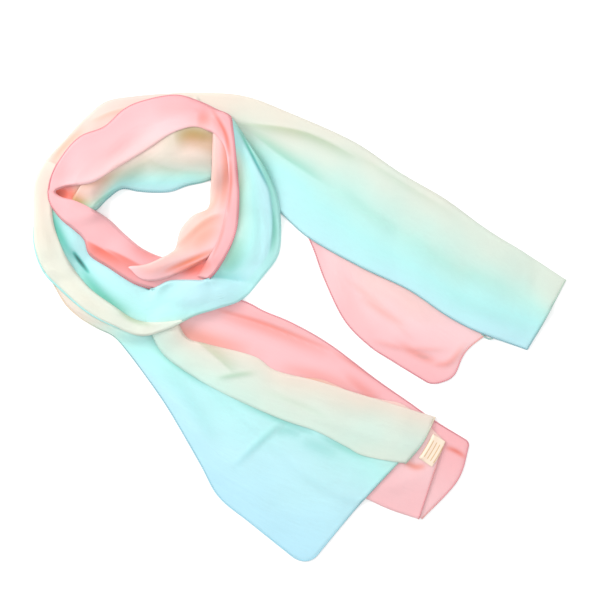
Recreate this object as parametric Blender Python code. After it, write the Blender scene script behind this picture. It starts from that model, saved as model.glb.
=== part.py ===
"""A light chiffon scarf: one long strip wound once into a loop and laid flat with its two tails side by side.

The strip is drawn one stretch at a time, in the order the stretches lie on each other. Every stretch is a
loft between lines that run along it: its hems, its folds and the ridges between them. Each is then let down
on what already lies below it, so the layers rest on each other with a small gap.
"""

import bmesh
import bpy
import numpy as np

WALL = 1.2  # mm, one cloth layer
GAP = 0.6  # mm, air between two layers
CELL = 1.0  # mm, the grid the pile's height is kept on
REACH = 6  # cells over which a layer slopes down off what it covers
CORNER = np.array([-262.0, -240.0])  # mm, the front left corner of that grid
GRID = (530, 480)  # cells
MIDDLE = np.array([0.25, 1.37, 0.0])  # mm, the middle of the whole scarf's base, moved to the origin
STEP = 11.0  # mm, the length of a facet
FOLD_ROUND = 0.8  # mm, how far a fold stands out past its line
CORE_WIDTH = 0.84  # the hidden layers' width, of the layers they lie in
TAIL_2_STATIONS = 32
TAIL_1_STATIONS = 29

# Tail 2, lines along it from the loop to its end: x, y in mm
TAIL_2_FOLD = [(-94, 214), (-51, 211), (-10, 196), (48, 170), (90, 142), (130, 116), (167, 88), (205, 68), (240, 45)]
TAIL_2_MIDDLE = [(-84, 184), (-34, 166), (10, 140), (60, 106), (104, 76), (150, 44), (187, 26), (223, 14)]
TAIL_2_LOWER = [(-70, 153), (-45, 127), (-20, 108), (8, 83), (54, 57), (98, 36), (132, 13), (161, -2), (205, -18)]
TAIL_2_TUCK = [(-82, 176), (-36, 158), (8, 130), (58, 98), (104, 70), (150, 42), (190, 26), (226, 18)]
TAIL_2_PINK = [(-82, 184), (-34, 164), (12, 132), (56, 98), (96, 64), (130, 26), (149, -20)]
TAIL_2_HEM = [(-70, 160), (-34, 128), (-4, 104), (11, 76), (22, 46), (40, 9), (62, -14), (83, -28), (119, -50)]

# Tail 1
TAIL_1_HEM = [(-94, 34), (-53, 26), (-32, 16), (-6, 5), (27, -14), (68, -45), (98, -66), (122, -83), (153, -102)]
TAIL_1_PINK = [(-108, 20), (-60, -12), (-10, -44), (40, -80), (90, -112), (142, -136)]
TAIL_1_TURN = [(-124, 6), (-94, -27), (-61, -59), (-29, -90), (0, -119), (32, -143), (60, -153), (110, -172)]
TAIL_1_PALE = [(-118, 8), (-80, -28), (-40, -50), (0, -68), (50, -84), (96, -94), (129, -108)]
TAIL_1_CREAM = [(-112, 12), (-102, -7), (-84, -13), (-42, -24), (-22, -37), (14, -46), (73, -64), (122, -79)]
TAIL_1_PLEAT = [(-138, 4), (-124, -22), (-94, -44), (-58, -63), (-17, -81), (15, -92), (40, -105), (95, -121)]
TAIL_1_TUCKED = [(-128, 8), (-110, -18), (-84, -30), (-52, -48), (-12, -66), (20, -78), (46, -90), (98, -108)]
TAIL_1_AQUA = [(-158, 4), (-134, -36), (-98, -74), (-56, -106), (-16, -131), (24, -146), (57, -153)]
TAIL_1_EDGE = [(-174, 3), (-156, -17), (-142, -36), (-126, -60), (-99, -101), (-82, -137), (-32, -184), (4, -212)]

# The loop, its outer pass from the back round the left to the front
BACK_EDGE = [(-62, 212), (-86, 214), (-117, 213), (-162, 210), (-175, 206), (-192, 192), (-213, 171)]
BACK_INNER = [(-70, 160), (-92, 162), (-120, 160), (-148, 154), (-166, 150), (-180, 146), (-192, 140)]
LEFT_EDGE = [(-208, 176), (-229, 153), (-239, 132), (-240, 99), (-239, 75), (-231, 53), (-214, 35), (-186, 13)]
LEFT_INNER = [(-190, 146), (-203, 132), (-210, 120), (-213, 108), (-209, 94), (-201, 80), (-191, 68), (-174, 54)]
FRONT_EDGE = [(-217, 38), (-190, 16), (-165, 3), (-142, -5), (-115, 2), (-95, 12), (-76, 18), (-52, 27), (-33, 51)]
FRONT_UPPER = [(-199, 80), (-188, 62), (-172, 56), (-154, 43), (-140, 39), (-119, 44), (-95, 46), (-76, 50), (-68, 70)]
RIGHT_EDGE = [(-42, 38), (-24, 62), (-17, 84), (-18, 108), (-23, 126), (-31, 144), (-44, 166), (-61, 191)]
RIDGE_RIGHT = [(-84, 44), (-76, 52), (-64, 72), (-57, 91), (-55, 118), (-56, 137), (-61, 181)]
RIDGE_LEFT = [(-96, 52), (-86, 62), (-75, 74), (-72, 95), (-67, 112), (-64, 135), (-68, 183)]
RIGHT_HOLE = [(-122, 64), (-112, 70), (-104, 92), (-92, 104), (-84, 110), (-81, 126), (-80, 150), (-78, 180)]

# The loop, its inner pass from the back round the left to the front
FAR_EDGE = [(-61, 191), (-75, 197), (-90, 205), (-112, 211), (-140, 206), (-176, 182), (-197, 173), (-215, 154), (-225, 126)]
FAR_PINK = [(-76, 180), (-94, 181), (-107, 180), (-121, 170), (-140, 159), (-166, 143), (-184, 132), (-202, 126), (-220, 122)]
FAR_CORE = [(-78, 140), (-101, 134), (-130, 130), (-160, 131), (-184, 126), (-204, 123), (-220, 121)]
FAR_HOLE = [(-76, 138), (-88, 133), (-101, 130), (-115, 125), (-130, 124), (-144, 125), (-160, 127), (-172, 121), (-184, 112)]
TURN_EDGE = [(-212, 158), (-222, 142), (-226, 130), (-226, 120), (-222, 110), (-214, 99)]
TURN_HOLLOW = [(-188, 134), (-190, 128), (-191, 122), (-191, 117), (-190, 111), (-186, 104)]
NEAR_HOLE = [(-218, 120), (-200, 114), (-184, 107), (-169, 97), (-157, 85), (-142, 73), (-123, 65), (-104, 60), (-84, 52)]
NEAR_EDGE = [(-225, 116), (-217, 102), (-203, 90), (-194, 82), (-189, 66), (-170, 55), (-158, 46), (-140, 28), (-118, 10)]

LABEL_LEFT = [(118, -92), (103, -118)]
LABEL_RIGHT = [(132, -101), (114, -123)]

pile = np.zeros(GRID)


def smooth(points, parts):
    """A soft curve through points, with this many parts between each two."""
    line = np.array(points, float)
    ends = np.vstack([2 * line[0] - line[1], line, 2 * line[-1] - line[-2]])
    before, here, there, after = ends[:-3], ends[1:-2], ends[2:-1], ends[3:]
    t = (np.arange(parts) / parts)[None, :, None]
    before, here, there, after = (p[:, None] for p in (before, here, there, after))
    curve = (
        2 * here
        + (there - before) * t
        + (2 * before - 5 * here + 4 * there - after) * t**2
        + (3 * here - before - 3 * there + after) * t**3
    ) / 2
    return np.vstack([curve.reshape(-1, line.shape[1]), line[-1:]])


def along(points, stations):
    """Evenly spaced stations on the soft curve through points."""
    line = smooth(points, 12)
    length = np.append(0, np.cumsum(np.linalg.norm(np.diff(line, axis=0), axis=1)))
    where = np.linspace(0, length[-1], stations)
    return np.stack([np.interp(where, length, line[:, k]) for k in range(2)], axis=1)


def loft(lines, across=3, stations=None):
    """Stations along by places across, between lines that run along a stretch."""
    longest = max(np.linalg.norm(np.diff(np.array(line, float), axis=0), axis=1).sum() for line in lines)
    stations = stations or max(4, round(longest / STEP) + 1)
    rails = np.stack([along(line, stations) for line in lines], axis=1)
    return np.stack([smooth(section, across) for section in rails])


def spread(field, cells):
    """The greatest height within this many cells."""
    for axis in range(2):
        field = np.max([np.roll(field, k, axis) for k in range(-cells, cells + 1)], axis=0)
    return field


def soften(field, cells):
    """The mean height within this many cells."""
    for axis in range(2):
        field = np.mean([np.roll(field, k, axis) for k in range(-cells, cells + 1)], axis=0)
    return field


def cell_of(spots):
    """The grid's column and row under each spot."""
    index = np.floor((spots[..., :2] - CORNER) / CELL).astype(int)
    return np.clip(index[..., 0], 0, GRID[0] - 1), np.clip(index[..., 1], 0, GRID[1] - 1)


def spots_on(surface):
    """Close spots all over a surface's facets, two triangles to each four corners."""
    a, b = surface[:-1, :-1], surface[1:, :-1]
    c, d = surface[1:, 1:], surface[:-1, 1:]
    steps = np.linspace(0, 1, 17)
    u, v = (w[..., None] for w in np.meshgrid(steps, steps, indexing="ij"))
    a, b, c, d = (p[:, :, None, None] for p in (a, b, c, d))
    return np.where(u >= v, a + u * (b - a) + v * (c - b), a + v * (d - a) + u * (c - d))


def lay(lines, crown=0.0, across=3, stations=None, tapered=False):
    """Lets a stretch down on the pile and adds it to the pile. Returns its lower and upper faces.

    A crown makes it a rounded solid that stands for the layers hidden inside a fold of the loop."""
    plan = loft(lines, across, stations)
    if crown:
        middle = plan.mean(axis=1, keepdims=True)
        plan = middle + (plan - middle) * CORE_WIDTH
    rows, places = plan.shape[:2]
    under = soften(spread(pile, REACH), REACH)
    low = np.dstack([plan, under[cell_of(plan)]])
    for _ in range(12):
        spots = spots_on(low)
        short = (pile[cell_of(spots)] - spots[..., 2]).max(axis=(2, 3))
        short = np.maximum(short, 0)
        if short.max() < 1e-3:
            break
        lift = np.zeros((rows, places))
        for i, j in ((0, 0), (0, 1), (1, 0), (1, 1)):
            part = lift[i : rows - 1 + i, j : places - 1 + j]
            np.maximum(part, short, out=part)
        low[..., 2] += lift
    bulge = np.sin(np.pi * np.linspace(0, 1, places))[None, :] ** 0.7
    if tapered:
        bulge = bulge * np.minimum(1, np.sin(np.pi * np.linspace(0, 1, rows)) * 2.2)[:, None]
    high = low.copy()
    high[..., 2] += WALL + crown * bulge
    spots = spots_on(high)
    np.maximum.at(pile, cell_of(spots), spots[..., 2] + GAP)
    covered = spread(pile, 1)
    pile[:] = covered
    return low, high


def solid(name, *layers):
    """One closed body from layers joined at their folds, each next one starting where the last one ended."""
    left, right = [], []
    left_is_low = True
    for number, (low, high) in enumerate(layers):
        if number:
            last_low, last_high = layers[number - 1]
            rises = low[:, 0, 2].mean() > last_low[:, -1, 2].mean()
            out = last_low[:, -1] - last_low[:, -2]
            out[:, 2] = 0
            out *= FOLD_ROUND / np.linalg.norm(out, axis=1)[:, None]
            outer = (last_low[:, -1] + high[:, 0]) / 2 if rises else (last_high[:, -1] + low[:, 0]) / 2
            inner = (last_high[:, -1] + low[:, 0]) / 2 if rises else (last_low[:, -1] + high[:, 0]) / 2
            left_is_outer = left_is_low == rises
            left.append(outer + out if left_is_outer else inner)
            right.append(inner if left_is_outer else outer + out)
            left_is_low = not left_is_low
        for place in range(low.shape[1]):
            pair = (low[:, place], high[:, place])
            left.append(pair[0] if left_is_low else pair[1])
            right.append(pair[1] if left_is_low else pair[0])
    points = np.stack([np.stack(left, 1), np.stack(right, 1)])
    _, rows, places, _ = points.shape
    number = np.arange(points.shape[0] * rows * places).reshape(2, rows, places)
    faces = []
    for skin in number:
        faces += corners(skin[:-1, :-1], skin[1:, :-1], skin[1:, 1:], skin[:-1, 1:])
    for end in (0, -1):
        faces += corners(number[0, end, :-1], number[0, end, 1:], number[1, end, 1:], number[1, end, :-1])
        faces += corners(number[0, :-1, end], number[0, 1:, end], number[1, 1:, end], number[1, :-1, end])
    mesh = bpy.data.meshes.new(name)
    mesh.from_pydata(((points.reshape(-1, 3) - MIDDLE) / 1000).tolist(), [], faces)
    shaped = bmesh.new()
    shaped.from_mesh(mesh)
    bmesh.ops.recalc_face_normals(shaped, faces=shaped.faces)
    shaped.to_mesh(mesh)
    shaped.free()
    piece = bpy.data.objects.new(name, mesh)
    bpy.context.scene.collection.objects.link(piece)
    return piece


def corners(a, b, c, d):
    """Two triangles for each four corners, split from a to c."""
    quads = np.stack([a, b, c, d], axis=-1).reshape(-1, 4)
    return quads[:, [0, 1, 2]].tolist() + quads[:, [0, 2, 3]].tolist()


def cloth(name, red, green, blue):
    """A soft, sheer cloth colour."""
    material = bpy.data.materials.new(name)
    material.use_nodes = True
    shader = material.node_tree.nodes["Principled BSDF"]
    shader.inputs["Base Color"].default_value = (red, green, blue, 1)
    shader.inputs["Roughness"].default_value = 0.75
    shader.inputs["Metallic"].default_value = 0.0
    return material


for old in list(bpy.data.objects):
    bpy.data.objects.remove(old)

PINK = cloth("pink_chiffon", 1.0, 0.55, 0.58)
CREAM = cloth("cream_chiffon", 0.96, 0.86, 0.72)
AQUA = cloth("aqua_chiffon", 0.55, 0.93, 0.90)
LABEL = cloth("woven_label", 0.95, 0.86, 0.70)

# Tail 2: pink below, then the tuck, then the wide upper layer that folds over at the back and in at the front
tail_2_under = lay([TAIL_2_HEM, TAIL_2_PINK, TAIL_2_FOLD], stations=TAIL_2_STATIONS)
tail_2_tuck = lay([TAIL_2_LOWER, TAIL_2_TUCK], across=4, stations=TAIL_2_STATIONS)
tail_2_over = lay([TAIL_2_FOLD, TAIL_2_MIDDLE, TAIL_2_LOWER], stations=TAIL_2_STATIONS)
pieces = [(solid("tail_2_folded", tail_2_under, tail_2_over, tail_2_tuck), AQUA)]

# The loop's outer pass
pieces.append((solid("back_hidden_layers", lay([BACK_EDGE, BACK_INNER], crown=3, across=5, tapered=True)), CREAM))
pieces.append((solid("back_outer_layer", lay([BACK_EDGE, BACK_INNER], across=6)), CREAM))
pieces.append((solid("left_hidden_layers", lay([LEFT_EDGE, LEFT_INNER], crown=5, across=5, tapered=True)), CREAM))
pieces.append((solid("left_outer_layer", lay([LEFT_EDGE, LEFT_INNER], across=6)), CREAM))

# Tail 1: an S of three layers, the aqua one tucked in a pleat under the cream one
tail_1_pink = lay([TAIL_1_HEM, TAIL_1_PINK, TAIL_1_TURN], stations=TAIL_1_STATIONS)
tail_1_pale = lay([TAIL_1_TURN, TAIL_1_PALE, TAIL_1_CREAM], stations=TAIL_1_STATIONS)
tail_1_aqua = lay([TAIL_1_TUCKED, TAIL_1_AQUA, TAIL_1_EDGE], stations=TAIL_1_STATIONS)
tail_1_cream = lay([TAIL_1_CREAM, TAIL_1_PLEAT], across=4, stations=TAIL_1_STATIONS)
pieces.append((solid("tail_1_folded", tail_1_pink, tail_1_pale, tail_1_cream), PINK))
pieces.append((solid("tail_1_aqua_panel", tail_1_aqua), AQUA))
pieces.append((solid("label", lay([LABEL_LEFT, LABEL_RIGHT], across=2)), LABEL))

# The loop's inner pass, with the turn at the left under both of its ends
pieces.append((solid("left_turn", lay([TURN_EDGE, TURN_HOLLOW], across=3)), PINK))
pieces.append((solid("near_hidden_layers", lay([NEAR_HOLE, NEAR_EDGE], crown=4, across=5, tapered=True)), PINK))
pieces.append((solid("near_pink_band", lay([NEAR_HOLE, NEAR_EDGE], across=6)), PINK))
pieces.append((solid("far_hidden_layers", lay([FAR_EDGE, FAR_CORE], crown=5, across=6, tapered=True)), PINK))
pieces.append((solid("far_aqua_band", lay([FAR_PINK, FAR_HOLE], across=5)), AQUA))
pieces.append((solid("far_pink_band", lay([FAR_EDGE, FAR_PINK], across=5)), PINK))

# The front and right of the outer pass, over what they cross
pieces.append((solid("front_hidden_layers", lay([FRONT_EDGE, FRONT_UPPER], crown=4, across=5, tapered=True)), AQUA))
pieces.append((solid("front_aqua_band", lay([FRONT_EDGE, FRONT_UPPER], across=6)), AQUA))
pieces.append((solid("right_hidden_layers", lay([RIGHT_EDGE, RIGHT_HOLE], crown=4, across=6, tapered=True)), AQUA))
pieces.append((solid("right_peach_band", lay([RIDGE_LEFT, RIGHT_HOLE], across=4)), CREAM))
pieces.append((solid("right_aqua_band", lay([RIGHT_EDGE, RIDGE_RIGHT], across=4)), AQUA))
pieces.append((solid("right_pink_ridge", lay([RIDGE_RIGHT, RIDGE_LEFT], crown=1, across=3)), PINK))

for piece, material in pieces:
    piece.data.materials.append(material)
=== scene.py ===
"""A light chiffon scarf, dyed in pastel stripes along its length, wound once and laid flat on a pale floor."""

import bmesh
import bpy
import numpy as np
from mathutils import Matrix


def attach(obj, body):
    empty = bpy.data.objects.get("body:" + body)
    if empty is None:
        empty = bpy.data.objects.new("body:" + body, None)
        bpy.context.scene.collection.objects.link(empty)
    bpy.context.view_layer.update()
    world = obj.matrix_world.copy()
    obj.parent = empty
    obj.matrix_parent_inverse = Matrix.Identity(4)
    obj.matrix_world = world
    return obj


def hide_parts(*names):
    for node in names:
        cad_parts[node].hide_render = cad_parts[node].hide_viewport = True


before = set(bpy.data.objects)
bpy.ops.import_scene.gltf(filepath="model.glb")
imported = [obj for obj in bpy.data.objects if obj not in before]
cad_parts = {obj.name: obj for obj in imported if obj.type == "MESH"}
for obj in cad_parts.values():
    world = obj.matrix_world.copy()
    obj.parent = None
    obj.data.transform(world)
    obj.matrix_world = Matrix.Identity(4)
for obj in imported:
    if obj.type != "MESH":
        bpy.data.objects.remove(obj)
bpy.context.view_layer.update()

CLOTH = 0.3  # mm, chiffon with its air
AIR = 0.35  # mm, between two layers
CELL = 1.0  # mm, the grid the pile's height is kept on
REACH = 6  # cells over which a layer slopes down off what it covers
CORNER = np.array([-262.0, -240.0])  # mm, the front left corner of that grid
GRID = (530, 480)  # cells
MIDDLE = np.array([0.25, 1.37, 0.0])  # mm, the middle of the whole scarf's base, moved to the origin
FACET = 1.6  # mm, the length of a facet
LIP = 1.1  # mm, how far in from an edge the cloth rounds down
RIM = (0.5, 1.3)  # mm in from an edge, two finer places where it rounds down
BLEND = 9  # mm over which a later part of a stretch bends to meet the part already laid
SINK = 0.2  # mm that it may press into the pile there
FINE = 24  # steps between two rows, to measure a stretch's length
CREASE_STEPS = 7  # straight steps between two places of a crease
FADE = 0.7  # mm over which a crease that stays on one side fades past its line
HEM = 0.62  # mm, the rolled hem's radius
SIDES = 8  # of a hem's cord
HEAP_FACET, LABEL_FACET = 4, 1.0  # mm

# Each row of the tables is a section across the strip: x mm, y mm and dye for each line along it. Dye runs from
# 0 at the pink long edge to 1 at the blue one.

# From tail 2's end round the back, the left, the front and up the right: edge, two lines between, inner edge
OUTER = [
    (240, 45, 0.57, 229, 24, 0.61, 217, 2, 0.77, 205, -18, 0.90),
    (205, 68, 0.58, 191, 45, 0.65, 176, 20, 0.76, 161, -2, 0.90),
    (168, 91, 0.56, 154, 64, 0.63, 142, 38, 0.74, 132, 13, 0.88),
    (131, 118, 0.54, 118, 90, 0.64, 107, 62, 0.73, 98, 36, 0.86),
    (90, 142, 0.56, 78, 115, 0.63, 66, 86, 0.73, 54, 57, 0.86),
    (48, 170, 0.53, 36, 142, 0.62, 22, 113, 0.74, 8, 83, 0.86),
    (-10, 196, 0.51, -12, 168, 0.58, -16, 138, 0.78, -20, 108, 0.84),
    (-51, 211, 0.49, -47, 186, 0.55, -45, 157, 0.70, -45, 127, 0.80),
    (-94, 214, 0.47, -86, 195, 0.50, -78, 176, 0.58, -72, 157, 0.66),
    (-120, 213, 0.44, -114, 195, 0.46, -108, 178, 0.50, -102, 160, 0.60),
    (-146, 211, 0.38, -140, 194, 0.40, -134, 176, 0.45, -128, 158, 0.55),
    (-175, 206, 0.38, -167, 191, 0.38, -158, 175, 0.42, -149, 158, 0.50),
    (-195, 190, 0.40, -186, 178, 0.39, -176, 164, 0.42, -166, 150, 0.50),
    (-213, 171, 0.42, -203, 161, 0.40, -193, 151, 0.44, -183, 141, 0.50),
    (-229, 153, 0.42, -219, 148, 0.40, -208, 142, 0.44, -197, 136, 0.52),
    (-239, 132, 0.43, -229, 130, 0.41, -218, 127, 0.46, -207, 124, 0.58),
    (-240, 99, 0.50, -231, 100, 0.56, -221, 101, 0.74, -204, 101, 0.80),
    (-239, 75, 0.54, -227, 79, 0.66, -213, 84, 0.80, -192, 88, 0.82),
    (-231, 53, 0.58, -217, 61, 0.72, -202, 68, 0.84, -181, 77, 0.84),
    (-214, 35, 0.60, -203, 46, 0.74, -191, 56, 0.84, -172, 69, 0.84),
    (-190, 16, 0.60, -182, 30, 0.74, -174, 43, 0.82, -161, 61, 0.83),
    (-165, 3, 0.60, -160, 18, 0.74, -155, 33, 0.80, -148, 48, 0.82),
    (-142, -5, 0.58, -140, 10, 0.75, -138, 23, 0.79, -135, 37, 0.82),
    (-115, 2, 0.58, -116, 14, 0.76, -117, 28, 0.79, -118, 44, 0.82),
    (-95, 12, 0.70, -97, 22, 0.83, -98, 33, 0.86, -101, 45, 0.86),
    (-76, 18, 0.80, -79, 26, 0.85, -82, 35, 0.86, -86, 45, 0.86),
    (-52, 27, 0.79, -58, 33, 0.84, -64, 40, 0.86, -79, 50, 0.80),
    # Up the right side the inner line's dye falls to 0.56 under the ridge, so the aqua greys towards it: partly the
    # strip's own dye, partly painted shade beside the ridge
    (-33, 48, 0.77, -39, 52, 0.80, -45, 55, 0.84, -77, 63, 0.58),
    (-20, 66, 0.74, -27, 69, 0.76, -33, 72, 0.86, -69, 82, 0.56),
    (-17, 86, 0.74, -24, 88, 0.76, -30, 89, 0.86, -64, 96, 0.56),
    (-18, 108, 0.74, -24, 109, 0.76, -30, 110, 0.86, -62, 116, 0.56),
    (-22, 126, 0.74, -27, 127, 0.76, -33, 129, 0.86, -57, 135, 0.56),
    (-31, 146, 0.73, -36, 148, 0.75, -41, 150, 0.84, -60, 157, 0.56),
    (-44, 166, 0.72, -48, 167, 0.74, -52, 169, 0.80, -66, 174, 0.76),
    (-60, 190, 0.70, -63, 190, 0.72, -66, 190, 0.76, -74, 190, 0.74),
]
# It is let down on the pile in these spans of rows, as is the pink edge's stretch below
TAIL_2_ROWS, LEFT_ROWS, FRONT_ROWS, RIGHT_ROWS = (0, 8), (8, 22), (22, 25.5), (25.5, 34)

# The pink edge's stretch, from the front of the right side up it, along the back, round the left and in to
# the front: hem, middle line, inner edge
INNER = [
    (-83, 45, 0.10, -88, 46, 0.12, -93, 48, 0.14),
    (-75, 53, 0.10, -80, 56, 0.12, -86, 59, 0.15),
    (-64, 72, 0.10, -69, 75, 0.13, -75, 78, 0.16),
    (-57, 92, 0.10, -63, 94, 0.14, -69, 97, 0.17),
    (-55, 118, 0.10, -60, 118, 0.14, -65, 118, 0.18),
    (-56, 137, 0.08, -60, 138, 0.14, -64, 139, 0.18),
    (-58, 160, 0.08, -62, 161, 0.14, -67, 162, 0.20),
    (-60, 178, 0.06, -66, 177, 0.13, -75, 174, 0.20),
    (-63, 192, 0.05, -72, 187, 0.12, -83, 178, 0.22),
    (-75, 198, 0.05, -82, 191, 0.12, -90, 181, 0.24),
    (-90, 205, 0.05, -95, 195, 0.13, -100, 181, 0.27),
    (-112, 211, 0.06, -113, 196, 0.16, -116, 175, 0.29),
    (-140, 206, 0.06, -137, 188, 0.18, -134, 163, 0.31),
    (-158, 198, 0.06, -153, 179, 0.18, -150, 153, 0.31),
    (-176, 182, 0.06, -170, 166, 0.18, -166, 143, 0.31),
    (-197, 173, 0.06, -190, 155, 0.16, -184, 132, 0.29),
    (-213, 156, 0.06, -207, 144, 0.14, -200, 129, 0.24),
    (-223, 138, 0.06, -218, 133, 0.12, -210, 128, 0.20),
    (-226, 122, 0.06, -223, 123, 0.10, -219, 124, 0.16),
    (-223, 111, 0.08, -220, 115, 0.12, -214, 119, 0.14),
    (-214, 99, 0.10, -208, 107, 0.12, -200, 115, 0.10),
    (-203, 90, 0.12, -194, 98, 0.16, -184, 107, 0.12),
    (-194, 81, 0.12, -184, 90, 0.16, -172, 99, 0.12),
    (-189, 67, 0.10, -174, 77, 0.14, -157, 85, 0.10),
    (-172, 56, 0.08, -158, 65, 0.11, -142, 73, 0.08),
    (-150, 42, 0.06, -137, 54, 0.09, -123, 65, 0.07),
    (-132, 36, 0.06, -119, 49, 0.08, -104, 64, 0.06),
    (-114, 30, 0.06, -100, 46, 0.07, -86, 66, 0.06),
    (-96, 28, 0.06, -82, 46, 0.06, -68, 68, 0.06),
]
FAR_ROWS, NEAR_ROWS = (0, 18), (18, 28)

# The cream and aqua layers inside the back of the ring: under the pink, between, hole edge
FAR_SHEET = [
    (-68, 182, 0.47, -70, 160, 0.44, -73, 138, 0.66),
    (-88, 183, 0.47, -88, 158, 0.44, -88, 133, 0.74),
    (-101, 184, 0.47, -102, 156, 0.45, -102, 130, 0.82),
    (-116, 178, 0.46, -116, 150, 0.53, -116, 125, 0.87),
    (-132, 168, 0.38, -131, 146, 0.57, -130, 124, 0.87),
    (-148, 158, 0.37, -147, 141, 0.60, -146, 125, 0.86),
    (-164, 148, 0.36, -162, 137, 0.56, -161, 127, 0.84),
    (-178, 140, 0.36, -176, 130, 0.44, -174, 118, 0.80),
    (-189, 134, 0.38, -188, 121, 0.40, -186, 107, 0.70),
    (-196, 130, 0.39, -204, 117, 0.42, -206, 100, 0.56),
]

# The floor of the hollow where the pink edge turns at the left: one row from left to right
TURN = [
    (-220, 132, 0.10, -219, 121, 0.08, -216, 112, 0.10),
    (-210, 134, 0.14, -209, 121, 0.12, -206, 110, 0.14),
    (-199, 134, 0.32, -199, 121, 0.40, -197, 108, 0.42),
    (-187, 132, 0.38, -187, 118, 0.42, -186, 104, 0.42),
]

# The peach panel inside the right of the ring, and its point over the near band: under the ridge, hole edge
PEACH = [
    (-66, 188, 0.22, -72, 185, 0.28, -78, 182, 0.34),
    (-61, 160, 0.22, -70, 156, 0.30, -79, 152, 0.36),
    (-60, 136, 0.22, -70, 132, 0.31, -81, 128, 0.38),
    (-60, 116, 0.22, -71, 113, 0.31, -83, 110, 0.38),
    (-64, 98, 0.24, -80, 100, 0.32, -97, 103, 0.38),
    (-70, 82, 0.24, -88, 87, 0.32, -108, 90, 0.37),
    (-78, 68, 0.24, -95, 74, 0.32, -112, 75, 0.36),
    (-94, 58, 0.22, -104, 65, 0.31, -116, 70, 0.36),
    (-110, 50, 0.20, -120, 57, 0.29, -130, 62, 0.35),
    (-128, 44, 0.18, -134, 51, 0.26, -141, 58, 0.33),
    (-142, 45, 0.18, -147, 51, 0.24, -151, 57, 0.30),
    (-151, 53, 0.18, -152, 54, 0.22, -154, 56, 0.28),
]

# The cream fold that lies over the left and the front of the outer pass: outer edge, middle, inner fold
CREAM_FOLD = [
    (-229, 153, 0.49, -222, 150, 0.47, -214, 147, 0.47),
    (-239, 132, 0.49, -231, 131, 0.47, -222, 129, 0.49),
    (-240, 99, 0.50, -231, 99, 0.49, -222, 99, 0.51),
    (-239, 75, 0.52, -227, 74, 0.51, -214, 73, 0.53),
    (-231, 53, 0.53, -217, 54, 0.52, -204, 55, 0.54),
    (-214, 35, 0.54, -202, 36, 0.53, -189, 37, 0.55),
    (-190, 15, 0.55, -178, 18, 0.54, -167, 21, 0.56),
    (-165, 2, 0.55, -159, 7, 0.55, -152, 11, 0.56),
    (-142, -6, 0.55, -141, 0, 0.55, -139, 7, 0.56),
    (-120, 0, 0.55, -121, 3, 0.56, -122, 7, 0.56),
    (-105, 7, 0.56, -106, 8, 0.56, -106, 9, 0.56),
]

# Tail 2's lower layer, from the ring out to its end: pink hem, two lines between, the edge inside the fold
TAIL_2_UNDER = [
    (-70, 160, 0.13, -73, 172, 0.23, -76, 184, 0.30, -92, 211, 0.42),
    (-34, 128, 0.14, -36, 145, 0.25, -38, 162, 0.32, -50, 208, 0.42),
    (-4, 104, 0.16, -4, 123, 0.27, -2, 142, 0.32, -11, 193, 0.42),
    (11, 76, 0.19, 18, 93, 0.29, 26, 110, 0.32, 46, 167, 0.42),
    (22, 46, 0.23, 33, 66, 0.29, 46, 86, 0.32, 88, 139, 0.42),
    (40, 9, 0.19, 57, 33, 0.28, 76, 58, 0.32, 128, 113, 0.42),
    (62, -14, 0.18, 81, 8, 0.27, 100, 30, 0.31, 165, 85, 0.42),
    (83, -28, 0.15, 104, -11, 0.23, 124, 8, 0.29, 203, 65, 0.42),
    (119, -50, 0.12, 138, -42, 0.16, 152, -17, 0.25, 190, 10, 0.36),
]

# The blue edge's strip turned in under tail 2, from the ring out: fold, inner edge
TAIL_2_TUCK = [
    (-70, 157, 0.84, -82, 176, 0.96),
    (-20, 111, 0.88, -6, 140, 0.98),
    (9, 86, 0.90, 34, 114, 1.0),
    (55, 60, 0.90, 80, 88, 1.0),
    (99, 39, 0.90, 124, 66, 1.0),
    (133, 16, 0.92, 160, 42, 1.0),
    (162, 1, 0.94, 190, 26, 1.0),
    (203, -14, 0.94, 226, 18, 1.0),
]

# Tail 1's four layers from the lowest up, each from the ring out. The first: pink hem, middle, inner edge
TAIL_1_UNDER = [
    (-94, 34, 0.15, -108, 20, 0.21, -122, 8, 0.28),
    (-53, 26, 0.14, -76, 6, 0.22, -98, -16, 0.28),
    (-32, 16, 0.16, -56, -12, 0.21, -76, -40, 0.28),
    (-6, 5, 0.17, -28, -34, 0.21, -46, -70, 0.28),
    (27, -14, 0.16, 6, -58, 0.21, -12, -100, 0.28),
    (68, -45, 0.12, 46, -90, 0.21, 26, -132, 0.28),
    (98, -66, 0.12, 78, -110, 0.20, 56, -149, 0.28),
    (122, -83, 0.12, 106, -124, 0.19, 80, -160, 0.28),
    (153, -102, 0.11, 142, -136, 0.18, 110, -171, 0.28),
]

# Its pale pink layer: front edge, middle, edge under the cream one
TAIL_1_PALE = [
    (-126, 4, 0.20, -124, 4, 0.26, -120, 4, 0.36),
    (-108, -16, 0.20, -104, -14, 0.26, -98, -14, 0.36),
    (-80, -44, 0.20, -66, -36, 0.26, -54, -32, 0.36),
    (-50, -72, 0.20, -36, -54, 0.26, -28, -46, 0.36),
    (-18, -103, 0.20, 0, -68, 0.26, 14, -44, 0.36),
    (22, -136, 0.20, 40, -94, 0.26, 50, -58, 0.36),
    (60, -153, 0.20, 72, -106, 0.26, 73, -63, 0.36),
    (82, -163, 0.20, 100, -112, 0.26, 97, -70, 0.36),
    (107, -171, 0.20, 124, -120, 0.26, 131, -101, 0.36),
]

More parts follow.
